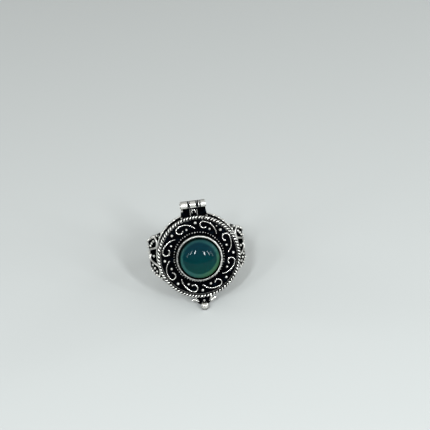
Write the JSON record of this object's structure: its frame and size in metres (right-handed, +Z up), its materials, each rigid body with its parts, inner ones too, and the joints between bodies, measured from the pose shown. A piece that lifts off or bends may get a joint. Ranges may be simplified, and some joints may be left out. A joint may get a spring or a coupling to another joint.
{
  "type": "poison ring",
  "caption": "Filigree locket ring: a flared band carries a round box whose hinged lid holds a domed cabochon in a plain bezel.",
  "frame": {"origin": "centre of the box round the ring as it lies on its side, on the floor", "axes": "+Z up, +X across the finger, +Y from the stone back to the plain side of the band"},
  "size_m": [0.0222, 0.0282, 0.0224],
  "materials": {
    "oxidised_silver": "cast and soldered silver, blackened in the recesses and rubbed bright on the raised work",
    "cabochon": "polished translucent teal chalcedony",
    "pin_silver": "worn silver rivet"
  },
  "bodies": {
    "base": {"band_and_box": "oxidised_silver", "hinge_pin": "pin_silver"},
    "lid": {"lid": "oxidised_silver", "stone": "cabochon"}
  },
  "joints": [
    {"name": "lid_hinge", "type": "hinge", "parent": "base", "child": "lid", "pos_m": [0, -0.00411, 0.02149], "axis": [-1, 0, 0], "range_deg": [0, 110]}
  ]
}
